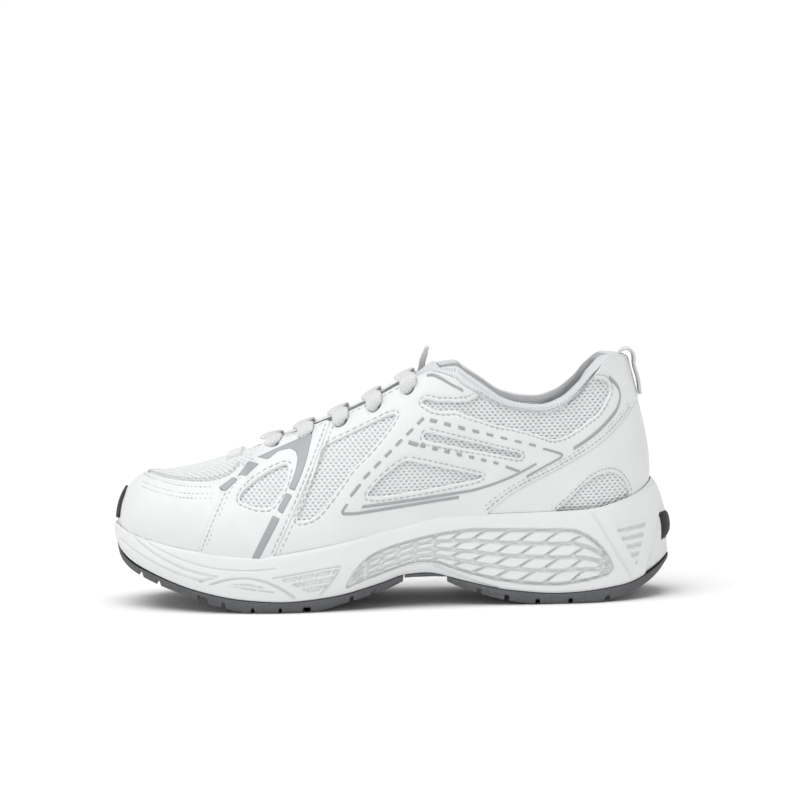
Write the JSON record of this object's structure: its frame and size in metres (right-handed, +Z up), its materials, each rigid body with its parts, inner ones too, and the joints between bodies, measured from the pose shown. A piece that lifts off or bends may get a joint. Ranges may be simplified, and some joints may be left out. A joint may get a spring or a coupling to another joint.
{
  "type": "running shoe",
  "caption": "Low-cut lace-up running shoe for the left foot: mesh upper under cut overlays, thick sculpted foam midsole and a two-part rubber outsole",
  "frame": {"origin": "middle of the overall box in plan, on the ground plane", "axes": "+Z up, toe towards -X, heel towards +X, lateral (outer) side at -Y"},
  "size_m": [0.2718, 0.098, 0.1228],
  "materials": {
    "outsole_forefoot": "matt, fine texture",
    "outsole_heel": "matt, fine texture",
    "arch_shank": "matt",
    "heel_insert": "matt",
    "toe_bumper": "matt",
    "midsole": "matt moulded foam",
    "lasting_board": "non-woven board",
    "insole": "knitted top cloth",
    "vamp_mesh": "open mesh",
    "quarter_mesh_lateral": "open mesh",
    "quarter_mesh_medial": "open mesh",
    "toe_cap": "smooth coated synthetic",
    "front_saddle_lateral": "smooth coated synthetic",
    "front_saddle_medial": "smooth coated synthetic",
    "eyestay_saddle_lateral": "smooth coated synthetic",
    "eyestay_saddle_medial": "smooth coated synthetic",
    "heel_cover": "smooth coated synthetic",
    "collar_strip_lateral": "reflective film",
    "collar_strip_medial": "reflective film",
    "throat_stay": "smooth coated synthetic",
    "heel_counter": "matt moulded board",
    "collar_padding": "open-cell foam",
    "collar_lining": "spacer mesh",
    "tongue_shell": "close mesh",
    "tongue_padding": "open-cell foam",
    "tongue_lining": "spacer mesh",
    "shoelace": "flat woven tape",
    "lace_tip_top": "satin sleeve",
    "lace_tip_front": "satin sleeve",
    "heel_pull_tab": "woven webbing"
  },
  "bodies": {
    "upper_and_sole": {"outsole_forefoot": "outsole_forefoot", "outsole_heel": "outsole_heel", "arch_shank": "arch_shank", "heel_insert": "heel_insert", "toe_bumper": "toe_bumper", "midsole": "midsole", "lasting_board": "lasting_board", "vamp_mesh": "vamp_mesh", "quarter_mesh_lateral": "quarter_mesh_lateral", "quarter_mesh_medial": "quarter_mesh_medial", "toe_cap": "toe_cap", "front_saddle_lateral": "front_saddle_lateral", "front_saddle_medial": "front_saddle_medial", "eyestay_saddle_lateral": "eyestay_saddle_lateral", "eyestay_saddle_medial": "eyestay_saddle_medial", "heel_cover": "heel_cover", "collar_strip_lateral": "collar_strip_lateral", "collar_strip_medial": "collar_strip_medial", "throat_stay": "throat_stay", "heel_counter": "heel_counter", "collar_padding": "collar_padding", "collar_lining": "collar_lining", "shoelace": "shoelace", "lace_tip_top": "lace_tip_top", "lace_tip_front": "lace_tip_front", "heel_pull_tab": "heel_pull_tab"},
    "tongue": {"tongue_shell": "tongue_shell", "tongue_padding": "tongue_padding", "tongue_lining": "tongue_lining"},
    "loose_insole": {"insole": "insole"}
  },
  "joints": [
    {"name": "tongue_fold", "type": "hinge", "parent": "upper_and_sole", "child": "tongue", "pos_m": [-0.0651, 0, 0.0665], "axis": [0, 1, 0], "range_deg": [0, 8]},
    {"name": "insole_lift", "type": "hinge", "parent": "upper_and_sole", "child": "loose_insole", "pos_m": [-0.1277, 0, 0.0415], "axis": [0, 1, 0], "range_deg": [-2.5, 0]}
  ]
}
